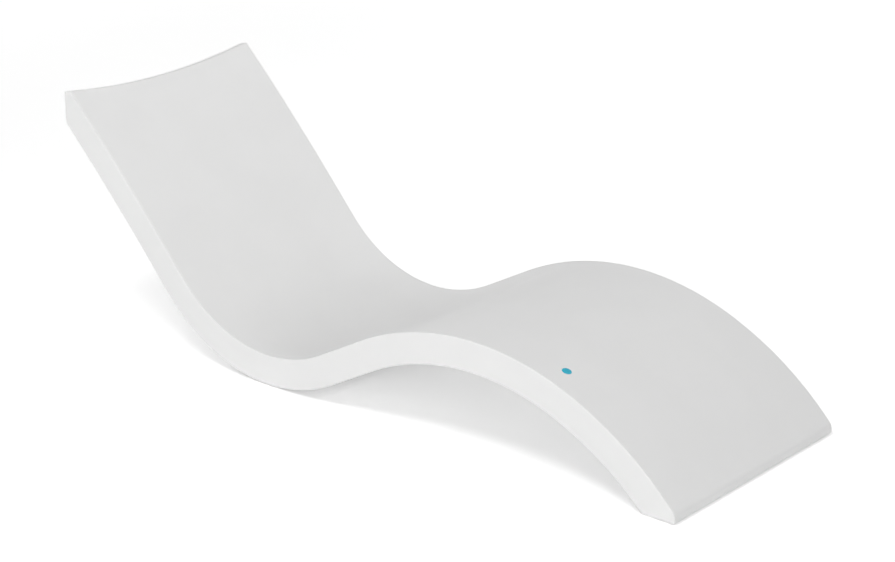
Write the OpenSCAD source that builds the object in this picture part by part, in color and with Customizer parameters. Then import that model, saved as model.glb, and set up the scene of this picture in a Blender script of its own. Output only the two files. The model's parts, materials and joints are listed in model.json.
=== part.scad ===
// Wave-shaped lounger: one hollow white moulding with a reclined back, a dished seat and a knee arch.
// It is filled through a screwed port high on the rear face, drained through one low on it,
// and stands on four round rubber pads set into its underside.
// X runs from the head (-X) to the toe (+X), Y across the seat, Z up. The origin is on the floor,
// under the middle of the length.

/* [Overall] */
// Width across the seat
overall_w = 610; // [560:5:720]
// Height of the head end above the floor
overall_h = 598; // [570:2:620]
// Thickness of the slab, square to its surface
slab_t = 74.5; // [70:0.5:86]
// Wall of the hollow moulding
wall_t = 6.5; // [5:0.5:8]
// Rounding along both side outlines
edge_r = 2; // [1.5:0.5:8]

/* [Side line, seen from the seat's lowest point] */
// Radius of the seat hollow
seat_r = 360; // [320:5:400]
// Slope at which the seat hollow gives way to the lumbar run, in degrees
seat_back_slope = 47.5; // [44:0.5:50]
// Radius of the slightly hollow lumbar run
lumbar_r = 2650; // [1800:50:4000]
// Steepest slope of the back, at the top of the lumbar run, in degrees
back_slope = 49; // [45:0.5:52]
// Radius of the slightly crowned upper back
crown_r = 6000; // [4000:100:9000]
// Slope of the straight rise from the seat to the knee, in degrees
rise_slope = 28.4; // [25:0.2:31]
// Length of the straight rise
rise_l = 142; // [110:2:170]
// Radius over the knee
knee_r = 683; // [620:5:740]
// Downward slope at which the knee gives way to the leg run, in degrees
leg_slope = 18.5; // [15:0.5:22]
// Radius of the leg run
leg_r = 780; // [720:5:840]

/* [Ends] */
// Front-to-back width of the narrow top of the head end
head_top_w = 21; // [15:1:40]
// How far the head end's top falls from its front edge to its rear edge
head_top_fall = 4.5; // [0:0.5:12]
// Height of the blunt nose at the toe
toe_nose_h = 22; // [18:1:30]

/* [Dished upper face] */
// Sag of the upper face at mid-width, at the head end
head_dish = 24; // [10:0.5:30]
// Sag at mid-width, at the middle of the back
back_dish = 22; // [10:0.5:30]
// Sag at mid-width, in the seat
seat_dish = 38; // [20:1:42]
// Distance forward of the seat's lowest point where the sag begins to fade
dish_fade_start = 330; // [280:5:380]
// Distance forward of the seat's lowest point where the upper face is flat across
dish_fade_end = 500; // [440:5:560]

/* [Filler and drain ports] */
// Distance of the filler port from the head end, along the upper face
fill_port_from_head = 155; // [110:5:220]
// Distance of the drain port behind the seat's lowest point, along the upper face
drain_port_from_seat = 300; // [260:5:400]
// Bore of the threaded inserts
port_bore_d = 38; // [32:1:42]
// Length of the threaded inserts
insert_l = 18; // [16:0.5:20]
// Wall of the threaded inserts
insert_wall = 4.2; // [4:0.2:6]
// How far the inserts' anchoring collars stand out
collar_w = 3; // [2:0.5:4]
// Thickness of the anchoring collars
collar_t = 4; // [3:0.5:6]
// Diameter of the plugs' heads
plug_head_d = 56; // [52:1:60]
// Thickness of the plugs' heads
plug_head_t = 9; // [8:0.5:11]
// How far the heads lie below the lounger's skin
plug_sink = 1; // [0.5:0.5:2]
// Gap round the heads in their recesses
recess_gap = 3; // [2:0.5:5]
// Length of the threaded shank below the head
thread_l = 16; // [12:0.5:16]
// Wall of the hollow shank
shank_wall = 4; // [3:0.5:5]
// Radial running clearance of the thread
thread_gap = 0.05; // [0.02:0.01:0.1]
// Depth of the grip cups in the heads
cup_depth = 4.5; // [3:0.5:5]
// Width of the rim round the grip cups
cup_rim_w = 5; // [4:0.5:6]
// Width of the grip bars across the cups
grip_w = 8; // [6:0.5:10]
// Section diameter of the sealing rings
ring_d = 3; // [2.5:0.1:3.2]

/* [Pads] */
// Diameter of the rubber pads
pad_d = 50; // [40:1:54]
// Thickness of the pads
pad_t = 5.5; // [5:0.5:7]
// How far the pads stand out below the lowest part of the shell
pad_proud = 1.5; // [1:0.5:3]
// Distance of the pads' centres from the lounger's sides
side_pad_in = 95; // [75:5:135]
// Distance of the toe pads' centres from the heel line of the toe's flat
toe_pad_in = 38; // [34:1:44]
// Thread diameter of the pad screws
screw_d = 6; // [5:0.5:6.5]
// Head diameter of the countersunk pad screws
screw_head_d = 11.5; // [10.5:0.5:13]
// Length of the pad screws
screw_l = 16; // [14:0.5:17]
// How far the screw heads lie above the pads' soles
screw_sink = 1; // [0.5:0.5:1.5]
// Outside diameter of the blind inserts that take the screws
anchor_d = 9.5; // [9:0.5:12]
// Length of the blind inserts
anchor_l = 14.5; // [14:0.5:17]
// Closed end of the blind inserts
anchor_end_t = 2; // [1:0.5:2.5]
// Plastic round the blind inserts
anchor_boss_w = 4; // [3:0.5:6]

/* [Plain roundel] */
// Diameter of the coloured roundel set into the leg run
roundel_d = 22; // [14:1:40]
// Thickness of the roundel
roundel_t = 1.5; // [1:0.25:2.5]
// Distance of the roundel forward of the seat's lowest point, along the upper face
roundel_forward = 873; // [760:5:960]
// Distance of the roundel from the right-hand side
roundel_in = 64; // [40:2:120]

/* [Hidden] */

// Roundness of every cylinder and ring
$fn = 96;
// How far a cut runs past the face it opens
overrun = 1;
// Clearance between a plug's head and its seat, and round a sealing ring in its groove
seal_gap = 0.1;
// Clearance of the pads and the roundel in their pockets
pocket_gap = 0.25;
// How far the roundel's flat face lies under the crowned skin
roundel_sink = 0.1;
// Radial clearance of a screw in its pad and in its insert
screw_gap = 0.05;

// Steps of the outline from head to toe, over the upper face and over the underside alike
outline_steps = 68;
// Steps of the upper face across the width
across_steps = 10;
// Steps round each rounded side edge
edge_steps = 2;

// Point of the back, as a share of its length, where the sag is back_dish
mid_back_share = 0.55;
// Power of the sag across the width: 2 is a plain arc, higher is flatter with steeper sides
head_dish_power = 2;
seat_dish_power = 3;

// The side line as runs of [length, bend], where bend is 1 over the radius, positive when hollow
degree = PI / 180;
forward_runs = [
    [seat_r * rise_slope * degree, 1 / seat_r],
    [rise_l, 0],
    [knee_r * (rise_slope + leg_slope) * degree, -1 / knee_r],
    [leg_r, -1 / leg_r]
];
rearward_runs = [
    [seat_r * seat_back_slope * degree, 1 / seat_r],
    [lumbar_r * (back_slope - seat_back_slope) * degree, 1 / lumbar_r],
    [crown_r, -1 / crown_r]
];

// A start [x, z, slope] carried a distance along a run of one bend
function carried(start, bend, distance) =
    let (slope = start[2] + bend * distance / degree)
    bend == 0
        ? [start[0] + distance * cos(slope), start[1] + distance * sin(slope), slope]
        : [start[0] + (sin(slope) - sin(start[2])) / bend, start[1] - (cos(slope) - cos(start[2])) / bend, slope];

// The [x, z, slope] at a distance along a list of runs
function along(runs, distance, start = [0, 0, 0], index = 0) =
    distance <= runs[index][0] || index == len(runs) - 1
        ? carried(start, runs[index][1], distance)
        : along(runs, distance - runs[index][0], carried(start, runs[index][1], runs[index][0]), index + 1);

// The upper line at a signed distance from the seat's lowest point, positive towards the toe
function upper_line(distance) =
    let (
        point = distance < 0 ? along(rearward_runs, -distance) : along(forward_runs, distance),
        way = distance < 0 ? -1 : 1
    )
    [way * point[0], pad_proud + slab_t + point[1], way * point[2]];

// The upper line lowered square to itself
function lowered_line(distance, depth) =
    let (point = upper_line(distance))
    [point[0] + depth * sin(point[2]), point[1] - depth * cos(point[2]), point[2]];

// The distance at which a falling measure passes zero, found by halving the span
function crossing(measure, near, far, turns = 40) =
    let (middle = (near + far) / 2)
    turns == 0
        ? middle
        : measure(middle) > 0 ? crossing(measure, middle, far, turns - 1) : crossing(measure, near, middle, turns - 1);

// Where the back reaches the head end's height and the leg reaches the nose's height
knee_distance = forward_runs[0][0] + rise_l + knee_r * rise_slope * degree;
longest = leg_r + knee_distance;
head_distance = crossing(function (d) overall_h - upper_line(-d)[1], 0, longest);
nose_distance = crossing(function (d) upper_line(d)[1] - toe_nose_h, knee_distance, longest);
head_x = upper_line(-head_distance)[0];
rear_x = head_x - head_top_w;
nose_x = upper_line(nose_distance)[0];
shift_x = -(rear_x + nose_x) / 2;

// Height of the head end's top at a place along its fall, drawn in by an inset
head_top_slope = atan(head_top_fall / head_top_w);
function head_top(x, inset) = overall_h - (head_x - x) * tan(head_top_slope) - inset / cos(head_top_slope);

// Sag of the upper face at mid-width
function eased(share) = let (held = min(max(share, 0), 1)) held * held * (3 - 2 * held);
function blended(low, high, share) = low + (high - low) * eased(share);
function back_share(distance) = max(-distance, 0) / head_distance;
function dish(distance) =
    distance > 0
        ? blended(seat_dish, 0, (distance - dish_fade_start) / (dish_fade_end - dish_fade_start))
        : back_share(distance) < mid_back_share
            ? blended(seat_dish, back_dish, back_share(distance) / mid_back_share)
            : blended(back_dish, head_dish, (back_share(distance) - mid_back_share) / (1 - mid_back_share));

// Sag at a place across the width
dished_half_w = overall_w / 2 - edge_r;
function sag(distance, y) =
    let (power = blended(seat_dish_power, head_dish_power, back_share(distance)))
    dish(distance) * (1 - pow(min(abs(y) / dished_half_w, 1), power));

// One closed outline, seen from the side, drawn in from the skin by an inset:
// the upper line from head to toe, the nose's foot, the underside from toe to head, and the head's rear corner
function outline_at(y, inset) =
    let (
        head_end = -crossing(
            function (d) let (point = lowered_line(-d, inset)) head_top(point[0], inset) - point[1], 0, longest
        ),
        nose_end = crossing(function (d) nose_x - inset - lowered_line(d, inset)[0], knee_distance, longest),
        depth = slab_t - inset,
        heel = crossing(function (d) lowered_line(d, depth)[1] - pad_proud - inset, knee_distance, longest),
        rear_end = -crossing(function (d) lowered_line(-d, depth)[0] - rear_x - inset, 0, longest)
    )
    concat(
        [
            for (step = [0 : outline_steps])
                let (
                    distance = head_end + (nose_end - head_end) * step / outline_steps,
                    point = lowered_line(distance, inset)
                )
                [point[0] + shift_x, y, point[1] - sag(distance, y)]
        ],
        [[nose_x - inset + shift_x, y, pad_proud + inset]],
        [
            for (step = [0 : outline_steps])
                let (point = lowered_line(heel + (rear_end - heel) * step / outline_steps, depth))
                [point[0] + shift_x, y, point[1]]
        ],
        [[rear_x + inset + shift_x, y, head_top(rear_x + inset, inset) - sag(head_end, y)]]
    );

// Places across the width as [y, inset]: round one side edge, over the flat, round the other
function places_across(inset, rounding) =
    let (
        half_w = overall_w / 2 - inset,
        turn = 90 / edge_steps,
        side = rounding == 0
            ? [[half_w, inset]]
            : [
                for (step = [0 : edge_steps])
                    [half_w - rounding * (1 - cos(step * turn)), inset + rounding * (1 - sin(step * turn))]
            ],
        inner_w = half_w - rounding
    )
    concat(
        [for (place = side) [-place[0], place[1]]],
        [for (step = [1 : across_steps - 1]) [inner_w * (2 * step / across_steps - 1), inset]],
        [for (index = [len(side) - 1 : -1 : 0]) side[index]]
    );

// The solid inside a stack of outlines: skin between neighbours, and a ladder of quads over each end
module lofted(places) {
    rings = [for (place = places) outline_at(place[0], place[1])];
    ring_len = len(rings[0]);
    last = ring_len * (len(rings) - 1);
    skin = [
        for (ring = [0 : len(rings) - 2], index = [0 : ring_len - 1])
            let (
                here = ring * ring_len + index,
                next = ring * ring_len + (index + 1) % ring_len,
                corners = [here, next, next + ring_len, here + ring_len]
            )
            each [[corners[2], corners[1], corners[0]], [corners[3], corners[2], corners[0]]]
    ];
    // Index pairs on the upper line and the underside that stand opposite each other
    ladder = [
        for (step = [0 : outline_steps - 1])
            let (low = 2 * outline_steps + 2 - step)
            each [[step + 1, low, step], [step + 1, low - 1, low]]
    ];
    head_tip = [ring_len - 2, ring_len - 1, 0];
    nose_tip = [outline_steps + 1, outline_steps + 2, outline_steps];
    cap = concat(ladder, [head_tip, nose_tip]);
    polyhedron(
        points = [for (ring = rings) each ring],
        faces = concat(skin, cap, [for (face = cap) [last + face[2], last + face[1], last + face[0]]]),
        convexity = 6
    );
}

// Frames on the lounger: out of the underside, and out of the upper face
module on_underside(distance) {
    point = lowered_line(distance, slab_t);
    translate([point[0] + shift_x, 0, point[1]])
        rotate([0, 180 - point[2], 0])
            children();
}

module on_upper_face(distance, y) {
    point = upper_line(distance);
    translate([point[0] + shift_x, y, point[1] - sag(distance, y)])
        rotate([0, -point[2], 0])
            children();
}

// A disc from a low level to a high one
module disc(diameter, low, high) {
    translate([0, 0, low])
        cylinder(d = diameter, h = high - low);
}

// Port sizes, along an axis that points out of the skin
fill_port = fill_port_from_head - head_distance;
drain_port = -drain_port_from_seat;
recess_d = plug_head_d + 2 * recess_gap;
seat_z = -(plug_sink + plug_head_t + seal_gap);
insert_d = port_bore_d + 2 * insert_wall;
collar_z = seat_z - insert_l / 2;
port_boss_d = max(recess_d, insert_d + 2 * collar_w) + 2 * wall_t;
port_boss_z = seat_z - insert_l - wall_t;

module port_boss() {
    disc(port_boss_d, port_boss_z, 0);
}

module insert_outside() {
    disc(insert_d, seat_z - insert_l, seat_z);
    disc(insert_d + 2 * collar_w, collar_z - collar_t / 2, collar_z + collar_t / 2);
}

module port_cut() {
    disc(recess_d, seat_z, overrun);
    insert_outside();
    disc(port_bore_d, port_boss_z - overrun, seat_z);
}

module port_insert(distance) {
    color("darkgoldenrod")
        on_underside(distance)
            difference() {
                insert_outside();
                disc(port_bore_d, seat_z - insert_l - overrun, seat_z + overrun);
            }
}

// The sealing ring lies in a groove under the head, on the insert's outer face
ring_r = port_bore_d / 2 + insert_wall / 2;
groove_w = ring_d + 2 * seal_gap;

module plug(distance) {
    head_z = seat_z + seal_gap;
    shank_d = port_bore_d - 2 * thread_gap;
    shank_z = seat_z - thread_l;
    cup_d = plug_head_d - 2 * cup_rim_w;
    cup_z = -plug_sink - cup_depth;
    color("gainsboro")
        on_underside(distance)
            union() {
                difference() {
                    union() {
                        disc(plug_head_d, head_z, -plug_sink);
                        disc(shank_d, shank_z, head_z);
                    }
                    disc(cup_d, cup_z, overrun);
                    disc(shank_d - 2 * shank_wall, shank_z - overrun, head_z);
                    difference() {
                        disc(2 * ring_r + groove_w, head_z - overrun, seat_z + groove_w);
                        disc(2 * ring_r - groove_w, head_z - 2 * overrun, seat_z + groove_w + overrun);
                    }
                }
                intersection() {
                    disc(cup_d, cup_z, -plug_sink);
                    translate([-cup_d / 2, -grip_w / 2, cup_z])
                        cube([cup_d, grip_w, cup_depth]);
                }
            }
}

module sealing_ring(distance) {
    color("dimgray")
        on_underside(distance)
            translate([0, 0, seat_z + seal_gap + ring_d / 2])
                rotate_extrude()
                    translate([ring_r, 0])
                        circle(d = ring_d);
}

// Pads: the seat pads lie under the seat's lowest line, the toe pads on the flat of the toe
heel_distance = crossing(function (d) lowered_line(d, slab_t)[1] - pad_proud, knee_distance, longest);
seat_pad_x = shift_x;
toe_pad_x = lowered_line(heel_distance, slab_t)[0] + shift_x + toe_pad_in;
pad_xs = [seat_pad_x, toe_pad_x];
pad_y = overall_w / 2 - side_pad_in;
pad_ys = [-pad_y, pad_y];
pocket_d = pad_d + 2 * pocket_gap;
screw_head_h = (screw_head_d - screw_d) / 2;

module at_pads() {
    for (x = pad_xs, y = pad_ys)
        translate([x, y, 0])
            children();
}

module pad_boss() {
    disc(pocket_d + 2 * wall_t, 0, pad_t + wall_t);
    disc(anchor_d + 2 * anchor_boss_w, 0, pad_t + anchor_l + anchor_boss_w);
}

module pad_cut() {
    disc(pocket_d, -overrun, pad_t);
    disc(anchor_d, pad_t - overrun, pad_t + anchor_l);
}

module pad(x, y) {
    hole_d = screw_d + 2 * screw_gap;
    mouth_d = screw_head_d + 2 * screw_gap;
    color("slategray")
        translate([x, y, 0])
            difference() {
                disc(pad_d, 0, pad_t);
                disc(hole_d, -overrun, pad_t + overrun);
                disc(mouth_d, -overrun, screw_sink);
                translate([0, 0, screw_sink])
                    cylinder(d1 = mouth_d, d2 = hole_d, h = screw_head_h);
            }
}

module pad_screw() {
    translate([0, 0, screw_sink])
        cylinder(d1 = screw_head_d, d2 = screw_d, h = screw_head_h);
    disc(screw_d, screw_sink + screw_head_h, screw_sink + screw_l);
}

module pad_anchor() {
    difference() {
        disc(anchor_d, pad_t, pad_t + anchor_l);
        disc(screw_d + 2 * screw_gap, pad_t - overrun, pad_t + anchor_l - anchor_end_t);
    }
}

module pad_screws() {
    color("silver") at_pads() pad_screw();
}

module pad_anchors() {
    color("goldenrod") at_pads() pad_anchor();
}

// Roundel, flush with the leg run
roundel_y = roundel_in - overall_w / 2;

module roundel() {
    color("teal")
        on_upper_face(roundel_forward, roundel_y)
            disc(roundel_d, -roundel_sink - roundel_t, -roundel_sink);
}

// The hollow moulding, with bosses left standing in its tank and pockets for what it carries
module shell() {
    color("whitesmoke")
        difference() {
            lofted(places_across(0, edge_r));
            difference() {
                lofted(places_across(wall_t, 0));
                for (port = [fill_port, drain_port])
                    on_underside(port) port_boss();
                at_pads() pad_boss();
            }
            for (port = [fill_port, drain_port])
                on_underside(port) port_cut();
            at_pads() pad_cut();
            on_upper_face(roundel_forward, roundel_y)
                disc(roundel_d + 2 * pocket_gap, -roundel_sink - roundel_t, overrun);
        }
}

shell();
port_insert(fill_port);  // fill_port_insert
plug(fill_port);  // fill_plug
sealing_ring(fill_port);  // fill_plug_ring
port_insert(drain_port);  // drain_port_insert
plug(drain_port);  // drain_plug
sealing_ring(drain_port);  // drain_plug_ring
pad(seat_pad_x, pad_ys[1]);  // seat_pad_left
pad(seat_pad_x, pad_ys[0]);  // seat_pad_right
pad(toe_pad_x, pad_ys[1]);  // toe_pad_left
pad(toe_pad_x, pad_ys[0]);  // toe_pad_right
pad_screws();
pad_anchors();
roundel();
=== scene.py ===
import json
import math

import bmesh
import bpy
import numpy as np
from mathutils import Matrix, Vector


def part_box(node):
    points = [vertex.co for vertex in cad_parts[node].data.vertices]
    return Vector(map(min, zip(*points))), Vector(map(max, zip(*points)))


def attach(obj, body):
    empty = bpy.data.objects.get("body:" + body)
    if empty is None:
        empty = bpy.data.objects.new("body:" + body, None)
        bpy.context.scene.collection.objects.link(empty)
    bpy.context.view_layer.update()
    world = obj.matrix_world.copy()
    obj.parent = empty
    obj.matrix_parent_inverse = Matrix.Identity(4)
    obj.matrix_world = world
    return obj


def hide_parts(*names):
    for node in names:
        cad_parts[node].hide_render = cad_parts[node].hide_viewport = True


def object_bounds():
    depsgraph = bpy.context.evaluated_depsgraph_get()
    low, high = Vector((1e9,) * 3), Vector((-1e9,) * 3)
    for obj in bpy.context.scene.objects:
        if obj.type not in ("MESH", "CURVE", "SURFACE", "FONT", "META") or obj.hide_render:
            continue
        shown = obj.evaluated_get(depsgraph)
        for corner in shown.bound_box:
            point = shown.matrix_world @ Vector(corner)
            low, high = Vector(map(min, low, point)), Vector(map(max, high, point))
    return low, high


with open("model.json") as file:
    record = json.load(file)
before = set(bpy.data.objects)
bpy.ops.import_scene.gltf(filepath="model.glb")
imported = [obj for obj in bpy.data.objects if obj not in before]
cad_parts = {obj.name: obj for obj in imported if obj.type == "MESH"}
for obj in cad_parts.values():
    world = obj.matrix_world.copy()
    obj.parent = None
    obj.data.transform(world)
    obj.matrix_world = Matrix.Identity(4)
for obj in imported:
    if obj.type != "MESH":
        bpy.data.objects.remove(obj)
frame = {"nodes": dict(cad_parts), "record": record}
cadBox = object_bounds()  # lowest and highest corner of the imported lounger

mm = 0.001  # shapes are worked out in millimetres, and makePiece turns them into metres
mergeDistance = 2e-6  # in metres
cadLow = np.array(cadBox[0]) / mm
cadHigh = np.array(cadBox[1]) / mm
bodyOf = {node: body for body, nodes in frame["record"]["behaviour"]["bodies"].items() for node in nodes}
print("frame loaded:", len(frame["nodes"]), "nodes")


# One piece from whole arrays, in place of its CAD node. Doubles are merged, which closes seams and poles.
def makePiece(node, points, faces, material, sharpAngle=32):
    mesh = bpy.data.meshes.new(node + "_look")
    mesh.from_pydata((points * mm).tolist(), [], [face for group in faces for face in group.tolist()])
    work = bmesh.new()
    work.from_mesh(mesh)
    bmesh.ops.remove_doubles(work, verts=work.verts, dist=mergeDistance)
    work.to_mesh(mesh)
    work.free()
    mesh.polygons.foreach_set("use_smooth", np.ones(len(mesh.polygons), bool))
    mesh.set_sharp_from_angle(angle=math.radians(sharpAngle))
    mesh.materials.append(material)
    piece = bpy.data.objects.new(mesh.name, mesh)
    bpy.context.scene.collection.objects.link(piece)
    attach(piece, bodyOf[node])
    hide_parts(node)
    return piece


# Quads between neighbours in a table of point numbers. They face along columns x rows.
def gridFaces(ids, closedRows=False, closedCols=False):
    if closedRows:
        ids = np.vstack([ids, ids[:1]])
    if closedCols:
        ids = np.hstack([ids, ids[:, :1]])
    return np.stack([ids[:-1, :-1], ids[:-1, 1:], ids[1:, 1:], ids[1:, :-1]], axis=-1)


# A path through [a, b, rounding] corners, where a rounded corner is an arc that touches both its sides.
def softPath(corners, cells):
    corners = np.array(corners, float)
    path = []
    for before, corner, after in zip(np.roll(corners, 1, 0), corners, np.roll(corners, -1, 0)):
        rounding = corner[2]
        if rounding == 0:
            path.append(corner[None, :2])
            continue
        into, out = corner[:2] - before[:2], after[:2] - corner[:2]
        into, out = into / np.hypot(*into), out / np.hypot(*out)
        turn = math.atan2(into[0] * out[1] - into[1] * out[0], into @ out)
        start = corner[:2] - into * rounding * math.tan(abs(turn) / 2)
        side = np.array([-into[1], into[0]]) * math.copysign(1, turn)
        angle = np.linspace(0, abs(turn), cells + 1)[:, None]
        path.append(start + rounding * (into * np.sin(angle) + side * (1 - np.cos(angle))))
    return np.concatenate(path)


# A path of [radius, height] carried round its axis. It runs anticlockwise round the material. A table of
# radii, path points by spokes, can take the place of the path's own.
def turned(path, spokes, radius=None, closed=False):
    angle = 2 * np.pi * np.arange(spokes) / spokes
    shape = (len(path), spokes)
    radius = np.broadcast_to(path[:, :1], shape) if radius is None else radius
    height = np.broadcast_to(path[:, 1:], shape)
    points = np.stack([radius * np.cos(angle), radius * np.sin(angle), height], axis=-1)
    ids = np.arange(len(path) * spokes).reshape(shape)
    return points.reshape(-1, 3), [gridFaces(ids, closedRows=closed, closedCols=True).reshape(-1, 4)]


# Radii for a path whose stretch at the thread's radius is cut by it: a trapezium wave whose phase climbs one
# pitch a turn, right-handed, and which dies away towards both ends of the stretch.
def threaded(path, spokes, thread):
    radius = np.repeat(path[:, :1], spokes, axis=1)
    rows = np.isclose(path[:, 0], thread["radius"])
    height = path[rows, 1]
    phase = (height[:, None] / thread["pitch"] - np.arange(spokes) / spokes) % 1
    root = 1 - np.clip((np.abs(2 * phase - 1) - thread["crest"]) / (1 - 2 * thread["crest"]), 0, 1)
    fade = np.clip(np.minimum(height - height.min(), height.max() - height) / thread["runOut"], 0, 1)
    radius[rows] += thread["depth"] * root * fade[:, None]
    return radius


# Several solids, each points and groups of faces, as one.
def joined(solids):
    starts = np.cumsum([0] + [len(points) for points, _ in solids])
    groups = [group + start for (_, faces), start in zip(solids, starts) for group in faces]
    return np.vstack([points for points, _ in solids]), groups


# Local x, y and z laid along the lounger, across it and outward, from an origin.
def placed(points, origin, outward):
    along = np.cross([0, 1, 0], outward)
    return origin + points @ np.array([along, [0, 1, 0], outward])


# The side line, with lengths in millimetres and slopes in degrees.
lineForm = {
    "slab": 74.5,  # thickness of the lounger, square to its line
    "crownRadius": 6000,
    "backSlope": 49,
    "lumbarRadius": 2650,
    "seatBackSlope": 47.5,
    "seatRadius": 360,
    "riseSlope": 28.4,
    "riseLength": 142,
    "kneeRadius": 683,
    "legSlope": 18.5,
    "legRadius": 780,
    "noseHeight": 22,  # of the blunt toe
    "headTop": 21,  # front-to-back width of the head end's top
    "headFall": 4.5,  # how far that top falls from its front to its rear
    "proud": 1.5,  # how far the pads hold the shell off the floor
    "reach": 1400,  # of the traced line, both ways from the seat's lowest point
    "samples": 11201,
    "headSpan": (-600, -1100),  # the stretch in which the head end lies
    "crossingSamples": 20001,
}


# The upper line seen from the side. Its slope runs straight between marks along the line, so every run is an
# arc or straight, and x and z are running sums of the slope's cosine and sine.
def traceLine(form):
    names = ("backSlope", "seatBackSlope", "riseSlope", "legSlope")
    back, seatBack, rise, leg = (math.radians(form[name]) for name in names)
    reach = form["reach"]
    seatStart = -form["seatRadius"] * seatBack
    lumbarStart = seatStart - form["lumbarRadius"] * (back - seatBack)
    riseStart = form["seatRadius"] * rise
    kneeStart = riseStart + form["riseLength"]
    legStart = kneeStart + form["kneeRadius"] * (rise + leg)
    marks = [-reach, lumbarStart, seatStart, 0, riseStart, kneeStart, legStart, reach]
    headSlope = (lumbarStart + reach) / form["crownRadius"] - back
    toeSlope = -leg - (reach - legStart) / form["legRadius"]
    slopes = [headSlope, -back, -seatBack, 0, rise, rise, -leg, toeSlope]
    distance = np.linspace(-reach, reach, form["samples"])
    step = distance[1] - distance[0]
    middle = np.interp(distance[1:] - step / 2, marks, slopes)
    x = np.concatenate([[0], np.cumsum(np.cos(middle) * step)])
    z = np.concatenate([[0], np.cumsum(np.sin(middle) * step)])
    seat = len(distance) // 2
    return {
        "distance": distance,
        "x": x - x[seat],
        "z": z - z[seat] + form["proud"] + form["slab"],
        "slope": np.interp(distance, marks, slopes),
        "legStart": legStart,
    }


line = traceLine(lineForm)


# x, z and slope at a distance along the upper line, lowered square to itself by a depth.
def lineAt(distance, depth=0):
    x, z, slope = (np.interp(distance, line["distance"], line[name]) for name in ("x", "z", "slope"))
    return x + depth * np.sin(slope), z - depth * np.cos(slope), slope


# The distance at which a measure that falls from near to far passes zero.
def crossing(measure, near, far):
    distance = np.linspace(near, far, lineForm["crossingSamples"])
    return float(np.interp(0, measure(distance)[::-1], distance[::-1]))


legStart, reach, slab, proud = line["legStart"], lineForm["reach"], lineForm["slab"], lineForm["proud"]
noseDistance = crossing(lambda d: lineAt(d)[1] - lineForm["noseHeight"], legStart, reach)
line["x"] += cadHigh[0] - lineAt(noseDistance)[0]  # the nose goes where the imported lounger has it
noseX, rearX, topZ, halfWidth = cadHigh[0], cadLow[0], cadHigh[2], cadHigh[1]
headDistance = -crossing(lambda d: topZ - lineAt(d)[1], *lineForm["headSpan"])  # from the seat's lowest point


mouldForm = {
    "wall": 6.5,
    "sideRounding": 2,  # along both side outlines
    "headDish": 24,  # sag of the upper face at mid-width
    "backDish": 22,
    "seatDish": 38,
    "midBackShare": 0.55,
    "headPower": 2,  # 2 is a plain arc, more is flatter with steeper sides
    "seatPower": 3,
    "fadeStart": 330,  # where the sag fades out, forward of the seat's lowest point
    "fadeEnd": 500,
    "rimSoft": 2.2,  # width over which the dish eases into the rim
}


# An S from 0 to 1: 3 s squared - 2 s cubed.
def eased(share):
    share = np.clip(share, 0, 1)
    return share * share * (3 - 2 * share)


# How far the upper face lies below its rim: dish x (1 - share of the half width ** power). The dish eases
# from seat to mid-back to head and fades out over the knee, and the rim has a small radius of its own.
def sag(distance, y, form=mouldForm):
    back = np.maximum(-distance, 0) / headDistance
    lower = form["seatDish"] + (form["backDish"] - form["seatDish"]) * eased(back / form["midBackShare"])
    upShare = (back - form["midBackShare"]) / (1 - form["midBackShare"])
    upper = form["backDish"] + (form["headDish"] - form["backDish"]) * eased(upShare)
    fading = 1 - eased((distance - form["fadeStart"]) / (form["fadeEnd"] - form["fadeStart"]))
    dish = np.where(back < form["midBackShare"], lower, upper) * fading
    power = form["seatPower"] + (form["headPower"] - form["seatPower"]) * eased(back)
    flatHalf = halfWidth - form["sideRounding"]
    soft = form["rimSoft"]
    inward = np.hypot(np.maximum(flatHalf - np.abs(y), 0), soft) - soft
    share = 1 - inward / (math.hypot(flatHalf, soft) - soft)
    return dish * (1 - share**power)


# Places from anchor to anchor, in the given number of equal cells for each span.
def spread(anchors, cells):
    spans = [np.linspace(a, b, n, endpoint=False) for a, b, n in zip(anchors, anchors[1:], cells)]
    return np.concatenate([*spans, [anchors[-1]]])


# Places from start up to end that lie closer together near both, so that flat faces shade flat.
def closeToEnds(start, end, cells):
    share = (1 - np.cos(np.pi * np.arange(cells) / cells)) / 2
    return start + (end - start) * share


# A clockwise arc at a corner, as places and outward normals, its last one left to the next stretch.
def roundCorner(corner, heading, turn, rounding, cells):
    along = np.array([math.cos(heading), math.sin(heading)])
    centre = corner - along * rounding * math.tan(turn / 2) + rounding * np.array([along[1], -along[0]])
    angle = heading - turn * np.arange(cells) / cells
    normal = np.stack([-np.sin(angle), np.cos(angle)], axis=-1)
    return centre + rounding * normal, normal


# Where the cells' lengths change along the line and across it, at the windows of ports and pads.
spineMarks = [-770, -746.7, -649.5, -346.7, -260.2, -30, 30, 849, 897, 1150]
widthMarks = [-246, -174, -48, 48, 174, 246]
rimPower = 1.8  # how fast the cells narrow towards the rim

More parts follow.
